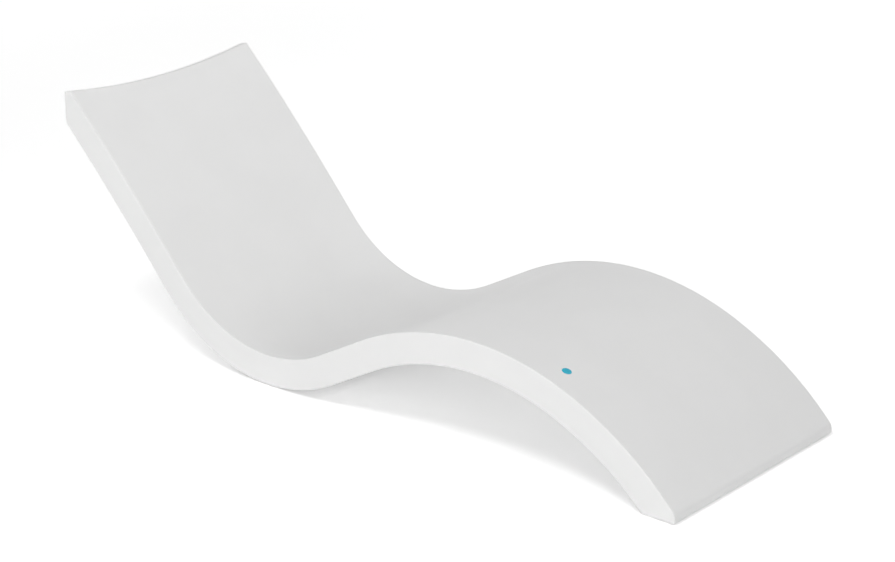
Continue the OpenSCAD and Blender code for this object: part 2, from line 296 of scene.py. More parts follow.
# Counts are of cells, stretch by stretch. The side faces' cells run in to a middle line. It starts middleEnd
# inside the plumb ends and comes back to the slab's own middle over endCells, bent by the power endBend.
outerLayout = {
    "inset": 0,
    "rounding": {"rear": 2.5, "headFront": 2.5, "noseTop": 22, "noseFoot": 7, "heel": 18, "rearLow": 14},
    "spineCells": [3, 12, 22, 12, 16, 12, 58, 8, 18],
    "head": {
        "plumb": 4, "rear": 6, "flat": 5, "headFront": 4, "line": 9,
        "rearLow": 6, "low": 10, "under": 12,
    },
    "toe": {"line": 24, "noseTop": 5, "plumb": 3, "low": 4, "noseFoot": 6, "flat": 12, "heel": 4, "under": 6},
    "sideShares": [1, 0.72, 0.46, 0.24, 0.09, 0.025],
    "middleEnd": 3,
    "endCells": 18,
    "endBend": 2,
    "sideCells": 5,
    "sideRounding": mouldForm["sideRounding"],
    "rimCells": 11,
    "widthCells": [9, 12, 12, 12, 9],
}
innerLayout = {
    "inset": mouldForm["wall"],
    "rounding": {"rear": 5, "headFront": 6, "noseTop": 14, "noseFoot": 3, "heel": 5, "rearLow": 10},
    "spineCells": [2, 12, 10, 12, 6, 12, 22, 2, 6],
    "head": {"plumb": 2, "rear": 3, "flat": 2, "headFront": 3, "line": 3, "rearLow": 3, "low": 3, "under": 7},
    "toe": {"line": 12, "noseTop": 3, "plumb": 2, "low": 1, "noseFoot": 3, "flat": 8, "heel": 3, "under": 2},
    "sideShares": [1, 0.5, 0.1],
    "middleEnd": 3,
    "endCells": 8,
    "endBend": 1,
    "sideCells": 3,
    "sideRounding": 2.5,
    "rimCells": 3,
    "widthCells": [4, 12, 12, 12, 4],
}


# The lounger seen from the side, drawn in by an inset, as one clockwise loop from the middle of the plumb
# rear: head, upper line, nose, and back under it. Point k from the start stands opposite point k from the
# end. side is 1 on the upper line and -1 underneath, and weight is the share of the sag that a point takes.
def outlineLoop(layout):
    inset, rounding, head, toe = layout["inset"], layout["rounding"], layout["head"], layout["toe"]
    quarter, half = math.pi / 2, math.pi
    rear, nose, foot = rearX + inset, noseX - inset, proud + inset
    deep = slab - inset
    fall = math.atan(lineForm["headFall"] / lineForm["headTop"])

    def headTop(x):
        return topZ - (rearX + lineForm["headTop"] - x) * math.tan(fall) - inset / math.cos(fall)

    headEnd = crossing(lambda d: headTop(lineAt(d, inset)[0]) - lineAt(d, inset)[1], *lineForm["headSpan"])
    noseEnd = crossing(lambda d: nose - lineAt(d, inset)[0], legStart, reach)
    heelEnd = crossing(lambda d: lineAt(d, deep)[1] - foot, legStart, reach)
    rearEnd = crossing(lambda d: lineAt(d, deep)[0] - rear, *lineForm["headSpan"])
    headSlope, noseSlope, heelSlope, rearSlope = (lineAt(d)[2] for d in (headEnd, noseEnd, heelEnd, rearEnd))
    turns = {
        "rear": quarter - fall,
        "headFront": fall - headSlope,
        "noseTop": quarter + noseSlope,
        "noseFoot": quarter,
        "heel": -heelSlope,
        "rearLow": quarter + rearSlope,
    }
    trim = {name: rounding[name] * math.tan(turn / 2) for name, turn in turns.items()}
    spine = spread(spineMarks, layout["spineCells"])
    rearFoot = lineAt(rearEnd, deep)[1] + trim["rearLow"]
    rearTop = headTop(rear) - trim["rear"]
    rearMiddle = (rearFoot + rearTop) / 2
    noseFoot = foot + trim["noseFoot"]
    noseMiddle = (noseFoot + lineAt(noseEnd, inset)[1] - trim["noseTop"]) / 2
    heelX = lineAt(heelEnd, deep)[0]
    stretches = []

    def add(places, normals, distance=0, weight=0, side=0):
        facts = [np.broadcast_to(np.asarray(fact, float), len(places)) for fact in (distance, weight, side)]
        stretches.append(np.column_stack([places, np.broadcast_to(normals, places.shape), *facts]))

    def addPlumb(x, zs, outward, weight=0):
        add(np.column_stack([np.full(len(zs), x), zs]), [outward, 0], headEnd, weight)

    def addFlat(xs, z, outward, **facts):
        add(np.column_stack([xs, np.full(len(xs), z)]), [0, outward], **facts)

    def addCorner(name, corner, heading, cells, **facts):
        add(*roundCorner(np.array(corner), heading, turns[name], rounding[name], cells), **facts)

    def addUpper(distance):
        x, z, slope = lineAt(distance, inset)
        add(np.column_stack([x, z]), np.column_stack([-np.sin(slope), np.cos(slope)]), distance, 1, 1)

    def addUnder(distance):
        x, z, slope = lineAt(distance, deep)
        add(np.column_stack([x, z]), np.column_stack([np.sin(slope), -np.cos(slope)]), distance, 0, -1)

    def rearWeight(zs):
        return (zs - rearFoot) / (rearTop - rearFoot)

    zs = closeToEnds(rearMiddle, rearTop, head["plumb"])
    addPlumb(rear, zs, -1, rearWeight(zs))
    addCorner("rear", [rear, headTop(rear)], quarter, head["rear"], distance=headEnd, weight=1)
    topStart = rear + trim["rear"] * math.cos(fall)
    topEnd = lineAt(headEnd, inset)[0] - trim["headFront"] * math.cos(fall)
    xs = closeToEnds(topStart, topEnd, head["flat"])
    add(np.column_stack([xs, headTop(xs)]), [-math.sin(fall), math.cos(fall)], headEnd, 1)
    addCorner("headFront", lineAt(headEnd, inset)[:2], fall, head["headFront"], distance=headEnd, weight=1)
    addUpper(closeToEnds(headEnd + trim["headFront"], spine[0], head["line"]))
    addUpper(spine[:-1])
    addUpper(closeToEnds(spine[-1], noseEnd - trim["noseTop"], toe["line"]))
    addCorner("noseTop", lineAt(noseEnd, inset)[:2], noseSlope, toe["noseTop"])
    addPlumb(nose, closeToEnds(2 * noseMiddle - noseFoot, noseMiddle, toe["plumb"]), 1)
    addPlumb(nose, closeToEnds(noseMiddle, noseFoot, toe["low"]), 1)
    addCorner("noseFoot", [nose, foot], -quarter, toe["noseFoot"])
    addFlat(closeToEnds(nose - trim["noseFoot"], heelX + trim["heel"], toe["flat"]), foot, -1, side=-1)
    addCorner("heel", [heelX, foot], half, toe["heel"], side=-1)
    addUnder(closeToEnds(heelEnd - trim["heel"], spine[-1], toe["under"]))
    addUnder(spine[:0:-1])
    addUnder(closeToEnds(spine[0], rearEnd + trim["rearLow"], head["under"]))
    addCorner("rearLow", lineAt(rearEnd, deep)[:2], half + rearSlope, head["rearLow"])
    zs = closeToEnds(rearFoot, rearMiddle, head["low"])
    addPlumb(rear, zs, -1, rearWeight(zs))
    return dict(zip(("x", "z", "normalX", "normalZ", "distance", "weight", "side"), np.vstack(stretches).T))


# Rows from one side face's middle to the other's: y, inset round the side edge, and share of the way from the
# outline to the slab's middle line.
def widthRows(layout):
    rounding, cells = layout["sideRounding"], layout["sideCells"]
    half = halfWidth - layout["inset"]
    flatHalf = half - rounding
    shares = np.array(layout["sideShares"])
    angle = np.arange(cells) / cells * np.pi / 2
    rimShare = (np.arange(layout["rimCells"]) / layout["rimCells"]) ** rimPower
    rim = flatHalf - (widthMarks[0] + flatHalf) * rimShare
    y = np.concatenate([np.full(len(shares), -half), -flatHalf - rounding * np.cos(angle), -rim])
    inset = np.concatenate([np.full(len(shares), float(rounding)), rounding * (1 - np.sin(angle)), 0 * rim])
    share = np.concatenate([shares, 0 * angle, 0 * rim])
    middle = spread(widthMarks, layout["widthCells"])
    return (
        np.concatenate([y, middle, -y[::-1]]),
        np.concatenate([inset, 0 * middle, inset[::-1]]),
        np.concatenate([share, 0 * middle, share[::-1]]),
    )


# A closed skin: the outline loop carried across the width, with a round patch let in for each recess.
def makeSkin(layout, recesses):
    loop = outlineLoop(layout)
    y, inset, share = (row[:, None] for row in widthRows(layout))
    count = len(loop["x"])
    partner = -np.arange(count) % count
    x = loop["x"] - inset * loop["normalX"]
    z = loop["z"] - inset * loop["normalZ"] - loop["weight"] * sag(loop["distance"], y)
    middleX, middleZ = (x + x[:, partner]) / 2, (z + z[:, partner]) / 2
    part = np.arange(layout["endCells"]) / layout["endCells"]
    for end, inward in ((0, 1), (count // 2, -1)):  # bent near both ends, so that no cell folds
        last = [end + inward * len(part)]
        startX, startZ = x[:, [end]] + inward * layout["middleEnd"], z[:, [end]]
        for way in (1, -1):
            columns = end + way * np.arange(len(part))
            middleX[:, columns] = startX + part * (middleX[:, last] - startX)
            middleZ[:, columns] = startZ + part ** layout["endBend"] * (middleZ[:, last] - startZ)
    x, z = x + share * (middleX - x), z + share * (middleZ - z)
    points = np.stack([x, np.broadcast_to(y, x.shape), z], axis=-1)
    ids = np.arange(x.size).reshape(x.shape)
    keep = np.ones((len(y) - 1, count), bool)
    parts, faces = [points.reshape(-1, 3)], []
    for recess in recesses:
        patch, patchFaces, window = letIn(recess, layout, loop, points, ids, sum(map(len, parts)))
        keep[window] = False
        parts.append(patch)
        faces += patchFaces
    return np.vstack(parts), [gridFaces(ids, closedCols=True)[keep], *faces]


patchShares = (0.3, 0.62, 0.88)  # of the way from a window's square to its circle
curveSamples = 401


# A patch for a recess. It blends the square window that it replaces into a circle on the skin, then follows a
# profile of [radius, depth, grip], where grip is the share of the skin's own curve that a ring follows.
def letIn(recess, layout, loop, points, ids, firstId):
    origin, outward, half, side = recess["origin"], recess["outward"], recess["window"], recess["side"]
    along = np.cross([0, 1, 0], outward)
    offset = np.column_stack([loop["x"] - origin[0], loop["z"] - origin[2]])
    near = (loop["side"] == side) & (np.hypot(*offset.T) < 2 * half)
    u = np.where(near, offset @ along[[0, 2]], np.inf)
    left, right = (int(np.abs(u - end).argmin()) for end in (-half, half))
    low, high = (int(np.abs(points[:, 0, 1] - origin[1] - end).argmin()) for end in (-half, half))
    edge = [ids[low, left:right], ids[low:high, right], ids[high, right:left:-1], ids[high:low:-1, left]]
    edge = np.concatenate(edge)
    edgeU = (points.reshape(-1, 3)[edge] - origin) @ along
    edgeUV = np.column_stack([edgeU, points.reshape(-1, 3)[edge, 1] - origin[1]])
    square = np.stack([edgeUV, (edgeUV + np.roll(edgeUV, -1, 0)) / 2], axis=1).reshape(-1, 2)
    cells = [2 * (right - left), 2 * (high - low)] * 2
    angle = spread(np.pi * np.array([-0.75, -0.25, 0.25, 0.75, 1.25]), cells)[:-1]
    circle = np.column_stack([np.cos(angle), np.sin(angle)])
    nearby = np.linspace(-2 * half, 2 * half, curveSamples)
    depthHere = layout["inset"] if side > 0 else slab - layout["inset"]
    curveX, curveZ, _ = lineAt(recess["distance"] + nearby, depthHere)
    curve = np.column_stack([curveX - origin[0], curveZ - origin[2]])
    order = np.argsort(curve @ along[[0, 2]])
    skinU, skinHeight = (curve @ along[[0, 2]])[order], (curve @ outward[[0, 2]])[order]
    if recess["flat"]:
        skinHeight = np.full(len(nearby), -float(layout["inset"]))
    profile = np.array(recess["profile"], float)
    rings = [square + (circle * profile[0, 0] - square) * share for share in patchShares]
    rings = np.array(rings + [circle * radius for radius in profile[:, 0]])
    depth = np.concatenate([np.zeros(len(patchShares)), profile[:, 1]])[:, None]
    grip = np.concatenate([np.ones(len(patchShares)), profile[:, 2]])[:, None]
    height = grip * np.interp(rings[..., 0], skinU, skinHeight) - depth
    patch = placed(np.concatenate([rings, height[..., None]], axis=-1).reshape(-1, 3), origin, outward)
    spokes = len(square)
    ringIds = firstId + np.arange(len(patch)).reshape(-1, spokes)
    even, odd, nextEven = ringIds[0, ::2], ringIds[0, 1::2], np.roll(ringIds[0, ::2], -1)
    after = np.roll(edge, -1)
    seam = (edge, odd, even), (edge, after, odd), (after, nextEven, odd)
    faces = [np.column_stack(corners) for corners in seam]
    faces.append(gridFaces(ringIds, closedCols=True).reshape(-1, 4))
    if recess["closed"]:
        patch = np.vstack([patch, origin - outward * profile[-1, 1]])
        last = ringIds[-1]
        faces.append(np.column_stack([last, np.roll(last, -1), np.full(spokes, firstId + len(patch) - 1)]))
    return patch, faces, np.s_[low:high, left:right]


# An output socket. Arithmetic between wires and numbers adds Math nodes to its board.
class Wire:
    def __init__(self, board, socket):
        self.board = board
        self.socket = socket

    def __add__(self, other):
        return self.board.maths("ADD", self, other)

    def __radd__(self, other):
        return self.board.maths("ADD", other, self)

    def __sub__(self, other):
        return self.board.maths("SUBTRACT", self, other)

    def __rsub__(self, other):
        return self.board.maths("SUBTRACT", other, self)

    def __mul__(self, other):
        return self.board.maths("MULTIPLY", self, other)

    def __rmul__(self, other):
        return self.board.maths("MULTIPLY", other, self)


# The nodes of one material, or of the world.
class Board:
    def __init__(self, owner):
        owner.use_nodes = True
        self.owner = owner
        self.tree = owner.node_tree
        self.tree.nodes.clear()

    def add(self, kind, settings=None, values=None, output=0):
        node = self.tree.nodes.new(kind)
        for name, setting in (settings or {}).items():
            setattr(node, name, setting)
        for name, value in (values or {}).items():
            if isinstance(value, Wire):
                self.tree.links.new(value.socket, node.inputs[name])
            else:
                node.inputs[name].default_value = value
        return Wire(self, node.outputs[output]) if node.outputs else None

    def maths(self, operation, *numbers):
        return self.add("ShaderNodeMath", {"operation": operation}, dict(enumerate(numbers)))

    def noise(self, place, size, detail):  # size in mm
        values = {"Vector": place, "Scale": 1 / (size * mm), "Detail": detail}
        return self.add("ShaderNodeTexNoise", None, values)

    def ramp(self, share, low, high):  # 0 below low, 1 above high, smooth between
        values = {"Value": share, "From Min": low, "From Max": high}
        return self.add("ShaderNodeMapRange", {"interpolation_type": "SMOOTHSTEP"}, values)

    def mix(self, share, first, second):
        values = {0: share, 6: first, 7: second}
        return self.add("ShaderNodeMix", {"data_type": "RGBA"}, values, 2)

    def bump(self, height, depth, normal=None):  # depth in mm
        values = {"Height": height, "Distance": depth * mm}
        if normal:
            values["Normal"] = normal
        return self.add("ShaderNodeBump", None, values)

    def objectPlace(self):
        return self.add("ShaderNodeTexCoord", None, None, 3)

    def seen(self):  # 1 where the camera, a reflection or glass looks, 0 for the light that falls on things
        rays = ("Is Camera Ray", "Is Glossy Ray", "Is Transmission Ray")
        camera, glossy, transmission = (self.add("ShaderNodeLightPath", None, None, ray) for ray in rays)
        return camera + glossy + transmission

    def surface(self, values):
        shader = self.add("ShaderNodeBsdfPrincipled", None, values)
        self.add("ShaderNodeOutputMaterial", None, {"Surface": shader})
        return self.owner


def rgba(colour, factor=1):
    return (*(min(1, part * factor) for part in colour), 1)


def grey(level):
    return rgba((level, level, level))


# Sizes and depths in millimetres; sheen is how far the roughness swings.
shellLook = {
    "colour": (0.865, 0.865, 0.862),
    "duller": 0.985,  # of the slightly duller patches
    "patch": 160,
    "patchRange": (0.35, 0.65),
    "patchSheen": 0.08,
    "roughness": 0.6,
    "specular": 0.32,
    "grain": 0.55,  # the fine texture of the mould
    "grainDepth": 0.018,
    "peel": 11,
    "peelDepth": 0.035,
    "peelSheen": 0.06,
    "wave": 95,
    "waveDepth": 0.16,
}


# White plastic: dull patches in the colour, and three bumps one over the other, wave, peel and grain.
def makeShellPlastic(look):
    board = Board(bpy.data.materials.new("shell_plastic"))
    place = board.objectPlace()
    patches = board.noise(place, look["patch"], 3)
    grain = board.noise(place, look["grain"], 2)
    peel = board.noise(place, look["peel"], 1)
    wave = board.noise(place, look["wave"], 0)
    share = board.ramp(patches, *look["patchRange"])
    normal = board.bump(wave, look["waveDepth"])
    normal = board.bump(peel, look["peelDepth"], normal)
    normal = board.bump(grain, look["grainDepth"], normal)
    sheen = look["patchSheen"] * (patches - 0.5) + look["peelSheen"] * (peel - 0.5)
    return board.surface({
        "Base Color": board.mix(share, rgba(look["colour"], look["duller"]), rgba(look["colour"])),
        "Roughness": look["roughness"] + sheen,
        "Specular IOR Level": look["specular"],
        "Normal": normal,
    })


plasticLook = {"patch": 14, "patchRange": (0.3, 0.7), "darker": 0.93, "lighter": 1.04, "sheen": 0.12}


# Moulded plastic or rubber: a fine even grain and slightly uneven sheen.
def makePlastic(name, colour, roughness, grain, depth, look=plasticLook):
    board = Board(bpy.data.materials.new(name))
    place = board.objectPlace()
    grainWire = board.noise(place, grain, 2)
    patches = board.noise(place, look["patch"], 2)
    share = board.ramp(patches, *look["patchRange"])
    return board.surface({
        "Base Color": board.mix(share, rgba(colour, look["darker"]), rgba(colour, look["lighter"])),
        "Roughness": roughness + look["sheen"] * (patches - 0.5),
        "Normal": board.bump(grainWire, depth),
    })


metalLook = {"patch": 5, "patchRange": (0.4, 0.75), "sheen": 0.2, "scratch": 0.4, "scratchDepth": 0.006}


# Metal: fine scratches, and patches that are darker by the tarnish.
def makeMetal(name, colour, roughness, tarnish, look=metalLook):
    board = Board(bpy.data.materials.new(name))
    place = board.objectPlace()
    patches = board.noise(place, look["patch"], 3)
    scratches = board.noise(place, look["scratch"], 2)
    share = board.ramp(patches, *look["patchRange"])
    return board.surface({
        "Base Color": board.mix(share, rgba(colour), rgba(colour, tarnish)),
        "Metallic": 1,
        "Roughness": roughness + look["sheen"] * (patches - 0.5),
        "Normal": board.bump(scratches, look["scratchDepth"]),
    })


shellPlastic = makeShellPlastic(shellLook)
plugPlastic = makePlastic("plug_plastic", (0.66, 0.67, 0.67), 0.38, 0.5, 0.015)
ringRubber = makePlastic("ring_rubber", (0.03, 0.03, 0.032), 0.5, 0.3, 0.01)
padRubber = makePlastic("pad_rubber", (0.16, 0.165, 0.17), 0.72, 0.6, 0.05)
roundelPlastic = makePlastic("roundel_plastic", (0.004, 0.43, 0.59), 0.5, 0.4, 0.008)
brass = makeMetal("brass", (0.66, 0.5, 0.24), 0.32, 0.7)
stainless = makeMetal("stainless", (0.6, 0.6, 0.6), 0.28, 0.86)
print("materials made")


# Radii, heights and depths in millimetres, from the skin or from the floor.
portForm = {
    "seat": 10.1,  # depth of the threaded insert's face below the skin
    "seatCorner": [[0, 0.6], [0.2, 0.15], [0.7, 0]],  # steps in from the recess and up from the seat
    "recess": 31,
    "recessLip": 2,
    "insert": 23.2,
    "insertLength": 18,
    "collar": 26.2,
    "collarThick": 4,
    "insertRounding": 0.3,
    "collarRounding": 0.5,
    "footRounding": 0.4,
    "mouth": 0.5,  # chamfer at both ends of the bore
    "bore": 19,
    "boreRows": 48,
    "boss": 37.5,
    "bossEnd": 34.6,
    "window": 48,
}
padForm = {
    "radius": 25,
    "thick": 5.5,
    "pocket": 25.25,
    "pocketLip": 1,
    "pocketCorner": 0.4,
    "pocketRing": 4,  # from the wall to the first ring of cells on the pocket's floor
    "anchor": 4.75,
    "anchorEnd": 20,
    "boss": 31.75,
    "bossEnd": 12,
    "anchorBoss": 8.75,
    "anchorBossEnd": 24,
    "window": 36,
    "innerWindow": 34,
}
roundelForm = {
    "radius": 11,
    "thick": 1.5,
    "pocket": 11.25,
    "pocketLip": 0.3,
    "pocketRing": 2,
    "sink": 0.1,  # below the skin
    "lowRounding": 0.15,
    "topRounding": 0.3,
    "distance": 873,  # along the upper line
    "y": -241,
    "window": 24,
    "spokes": 96,
}
portDistances = {"fill": 155 - headDistance, "drain": -300}
padNodes = ["seat_pad_left", "seat_pad_right", "toe_pad_left", "toe_pad_right"]


# Origin and outward direction on the upper skin (side 1) or the underside (side -1).
def skinFrame(distance, side, y=0):
    x, z, slope = lineAt(distance, 0 if side > 0 else slab)
    return {
        "distance": distance,
        "side": side,
        "flat": False,
        "origin": np.array([x, y, z]),
        "outward": side * np.array([-math.sin(slope), 0, math.cos(slope)]),
    }


# Straight down, at the middle of the CAD pad's box.
def padFrame(node):
    middle = np.mean([list(corner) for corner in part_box(node)], axis=0) / mm
    return {
        "distance": 0,
        "side": -1,
        "flat": node.startswith("toe"),
        "origin": np.array([middle[0], middle[1], proud]),
        "outward": np.array([0, 0, -1]),
    }


# Profile rows of a rounded mouth, from the skin down to the wall.
def lipped(radius, lip, cells=4):
    angle = np.linspace(0, np.pi / 2, cells + 1)
    radii, depths = radius + lip * (1 - np.sin(angle)), lip * (1 - np.cos(angle))
    return np.column_stack([radii, depths, 1 - angle / np.pi]).tolist()


# Down the recess to its seat, and through the wall of the bore that holds the threaded insert.
def portProfile(form):
    low = form["seat"] + form["insertLength"]
    middle = form["seat"] + form["insertLength"] / 2
    collar = [middle - form["collarThick"] / 2, middle + form["collarThick"] / 2]
    recess, seat, insert, bore = form["recess"], form["seat"], form["insert"], form["bore"]
    return lipped(recess, form["recessLip"]) + [
        [recess, seat / 2, 0],
        *[[recess - inward, seat - up, 0] for inward, up in form["seatCorner"]],
        [insert, seat, 0],
        [insert, collar[0], 0],
        [form["collar"], collar[0], 0],
        [form["collar"], collar[1], 0],
        [insert, collar[1], 0],
        [insert, low, 0],
        [bore, low, 0],
        [bore, form["bossEnd"], 0],
    ]


# Up the boss that surrounds the bore on the tank's side, and in to the bore.
def portBossProfile(form):
    return [[form["boss"], 0, 1], [form["boss"], form["bossEnd"], 0], [form["bore"], form["bossEnd"], 0]]


# The pad's pocket and, in its middle, the hole that holds the blind insert. Depths run from the skin.
def padProfile(form):
    floor, end = form["thick"] - proud, form["anchorEnd"] - proud
    return lipped(form["pocket"], form["pocketLip"], 3) + [
        [form["pocket"], floor - form["pocketCorner"], 0],
        [form["pocket"] - form["pocketCorner"], floor, 0],
        [form["pocket"] - form["pocketRing"], floor, 0],
        [form["anchor"], floor, 0],
        [form["anchor"], end, 0],
        [form["anchor"] / 2, end, 0],
    ]


# The pad's boss on the tank's side, and the narrower one over the blind insert.
def padBossProfile(form):
    low, end = form["bossEnd"] - proud, form["anchorBossEnd"] - proud
    return [
        [form["boss"], 0, 1],
        [form["boss"], low, 0],
        [form["anchorBoss"], low, 0],
        [form["anchorBoss"], end, 0],
        [form["anchorBoss"] / 2, end, 0],
    ]


# A shallow round pocket with a small lip.
def roundelProfile(form):
    floor = form["sink"] + form["thick"]
    return lipped(form["pocket"], form["pocketLip"], 2) + [
        [form["pocket"], floor, 0],
        [form["pocket"] - form["pocketRing"], floor, 0],
        [form["pocket"] / 2, floor, 0],
    ]


ports = {name: skinFrame(distance, -1) for name, distance in portDistances.items()}
pads = {node: padFrame(node) for node in padNodes}
roundelPlace = skinFrame(roundelForm["distance"], 1, roundelForm["y"])


# The outer skin with its recesses, and the tank's skin inside it with its bosses. The two meet in the bores.
def makeShell():
    outer, inner = [], []
    for port in ports.values():
        common = {**port, "window": portForm["window"], "closed": False}
        outer.append({**common, "profile": portProfile(portForm)})
        inner.append({**common, "profile": portBossProfile(portForm)})
    for pad in pads.values():
        common = {**pad, "closed": True}
        outer.append({**common, "window": padForm["window"], "profile": padProfile(padForm)})
        inner.append({**common, "window": padForm["innerWindow"], "profile": padBossProfile(padForm)})
    roundel = {"window": roundelForm["window"], "profile": roundelProfile(roundelForm), "closed": True}
    outer.append({**roundelPlace, **roundel})
    outerPoints, outerFaces = makeSkin(outerLayout, outer)
    innerPoints, innerFaces = makeSkin(innerLayout, inner)
    innerFaces = [group[:, ::-1] + len(outerPoints) for group in innerFaces]
    points = np.vstack([outerPoints, innerPoints])
    return makePiece("shell", points, outerFaces + innerFaces, shellPlastic)


makeShell()
print("shell made")


plugForm = {
    "head": 28,
    "headTop": -1,
    "headLow": -10,
    "headRounding": 2,
    "lowRounding": 0.5,
    "shank": 18.95,
    "shankLow": -26.1,
    "shankEdge": 0.5,  # chamfer at the shank's end
    "shankRows": 42,
    "hollow": 14.95,
    "hollowEdge": (0.3, 0.6),  # out and up
    "cup": 23,
    "cupFloor": -5.5,
    "cupRounding": 0.7,
    "floorRounding": 1.2,
    "grip": 8,
    "gripDraft": 3,  # degrees
    "gripRounding": 1.2,
    "gripSunk": 0.3,  # into the cup's floor
    "gripBeyond": 0.4,  # into the cup's wall
    "groove": (19.5, 22.7, -6.9),  # inner and outer radius, and height of its top
    "ringRadius": 21.1,
    "ringSection": 3,
    "ringCells": 24,
    "spokes": 96,
}
portThread = {"pitch": 4, "depth": 1.3, "crest": 0.25, "runOut": 3}  # crest is a share of the pitch


# A threaded sleeve with a collar round its middle: its section carried round its axis, heights from the skin.
def makeInsert(node, port):
    form = portForm
    top, low = -form["seat"], -form["seat"] - form["insertLength"]
    middle, thick = (top + low) / 2, form["collarThick"] / 2
    bore, mouth, rows = form["bore"], form["mouth"], form["boreRows"]
    boreWall = np.column_stack([np.full(rows, bore), np.linspace(top - mouth, low + mouth, rows)])
    outside = softPath([
        [bore + mouth, low, 0],
        [form["insert"], low, form["footRounding"]],
        [form["insert"], middle - thick, form["insertRounding"]],
        [form["collar"], middle - thick, form["collarRounding"]],
        [form["collar"], middle + thick, form["collarRounding"]],
        [form["insert"], middle + thick, form["insertRounding"]],
        [form["insert"], top, form["insertRounding"]],
        [bore + mouth, top, 0],
    ], 3)
    path = np.vstack([outside, boreWall])
    thread = {**portThread, "radius": bore}
    points, faces = turned(path, plugForm["spokes"], threaded(path, plugForm["spokes"], thread), closed=True)
    makePiece(node, placed(points, port["origin"], port["outward"]), faces, brass)


# A hollow threaded shank under a head with a groove for the ring and a cup on top, carried round its axis,
# and the grip bar across the cup.
def makePlug(node, port):
    form = plugForm
    grooveIn, grooveOut, grooveTop = form["groove"]
    shank, shankLow, edge = form["shank"], form["shankLow"], form["shankEdge"]
    hollow, (edgeOut, edgeUp) = form["hollow"], form["hollowEdge"]
    head, headLow, headTop = form["head"], form["headLow"], form["headTop"]
    cup, cupFloor = form["cup"], form["cupFloor"]
    rows = form["shankRows"]
    shankWall = np.column_stack([np.full(rows, shank), np.linspace(shankLow + edge, headLow, rows)])
    under = np.array([
        [0, headLow],
        [hollow / 2, headLow],
        [hollow, headLow],
        [hollow, shankLow + edgeUp],
        [hollow + edgeOut, shankLow],
        [shank - edge, shankLow],
    ])
    over = softPath([
        [grooveIn, headLow, 0],
        [grooveIn, grooveTop, 0],
        [grooveOut, grooveTop, 0],
        [grooveOut, headLow, 0],
        [head, headLow, form["lowRounding"]],
        [head, headTop, form["headRounding"]],
        [cup, headTop, form["cupRounding"]],
        [cup, cupFloor, form["floorRounding"]],
        [cup / 2, cupFloor, 0],
        [0, cupFloor, 0],
    ], 4)
    path = np.vstack([under, shankWall, over])
    thread = {**portThread, "radius": shank, "depth": -portThread["depth"]}
    body = turned(path, form["spokes"], threaded(path, form["spokes"], thread))
    points, faces = joined([body, gripBar(form)])
    makePiece(node, placed(points, port["origin"], port["outward"]), faces, plugPlastic)


# The bar across the cup: a rounded section, drafted to its top, carried from wall to wall of the cup.
def gripBar(form):
    half, low, top = form["grip"] / 2, form["cupFloor"] - form["gripSunk"], form["headTop"]
    draft = math.tan(math.radians(form["gripDraft"])) * (top - low)
    rounding = form["gripRounding"]
    corners = [[-half, low, 0], [half, low, 0], [half - draft, top, rounding], [-half + draft, top, rounding]]
    section = softPath(corners, 4)
    across = np.linspace(-1, 1, 5) * (form["cup"] + form["gripBeyond"])
    grid = np.broadcast_arrays(across[:, None], section[None, :, 0], section[None, :, 1])
    points = np.stack(grid, axis=-1).reshape(-1, 3)
    ids = np.arange(len(points)).reshape(len(across), len(section))
    sides = gridFaces(ids, closedCols=True).reshape(-1, 4)
    count = len(section)
    fan = np.column_stack([np.zeros(count - 2, int), np.arange(1, count - 1), np.arange(2, count)])
    return points, [sides, fan[:, ::-1] + ids[0, 0], fan + ids[-1, 0]]


# A circle beside the axis, carried round it.
def makeRing(node, port):
    form = plugForm
    angle = 2 * np.pi * np.arange(form["ringCells"]) / form["ringCells"]
    section = form["ringSection"] / 2
    middle = form["headLow"] + section
    path = np.column_stack([form["ringRadius"] + section * np.cos(angle), middle + section * np.sin(angle)])
    points, faces = turned(path, form["spokes"], closed=True)
    points = placed(points, port["origin"], port["outward"])
    makePiece(node, points, faces, ringRubber, sharpAngle=60)


for name, port in ports.items():
    makeInsert(f"{name}_port_insert", port)
    makePlug(f"{name}_plug", port)
    makeRing(f"{name}_plug_ring", port)
print("ports made")


# Heights in millimetres above the floor.
soleForm = {
    "hole": 3.05,
    "holeRounding": 0.3,
    "mouth": 5.8,
    "mouthLow": 1,
    "mouthTop": 3.75,
    "mouthRounding": 0.2,
    "grooves": (9, 12, 15, 18, 21),
    "grooveDepth": 0.8,
    "grooveLow": 0.7,  # half widths of a groove, at the sole and at its floor
    "grooveHigh": 0.35,
    "grooveRounding": 0.15,
    "lowRounding": 1,
    "topRounding": 0.5,
    "spokes": 96,
}
screwForm = {
    "head": 5.75,
    "headEdge": 0.2,
    "shank": 3,
    "low": 1,
    "headTop": 3.75,
    "end": 17,
    "endEdge": 0.6,
    "socket": 2,
    "socketDepth": 2.4,
    "socketEdge": 0.1,
    "drillDepth": 0.4,
    "drillShare": 0.6,  # of the socket's width
    "threadRows": 60,
    "spokes": 48,
}
anchorForm = {
    "radius": 4.75,
    "bore": 3.05,
    "low": 5.5,
    "boreEnd": 18,
    "boreEdge": 0.5,
    "mouth": 0.3,
    "end": 20,
    "lowEdge": 0.2,
    "endEdge": 0.4,
    "knurls": 24,
    "knurlDepth": 0.3,
    "knurlMargin": 1.5,  # from the knurl's field to both ends
    "knurlRows": 7,
    "threadRows": 60,
    "threadEnd": 0.6,
    "spokes": 96,
}
screwThread = {"pitch": 1, "depth": -0.5, "crest": 0.25, "runOut": 1}
hair = 0.001  # keeps a point off a radius that a thread or a knurl picks out
up = np.array([0, 0, 1])


def padBase(pad):
    return np.array([*pad["origin"][:2], 0])


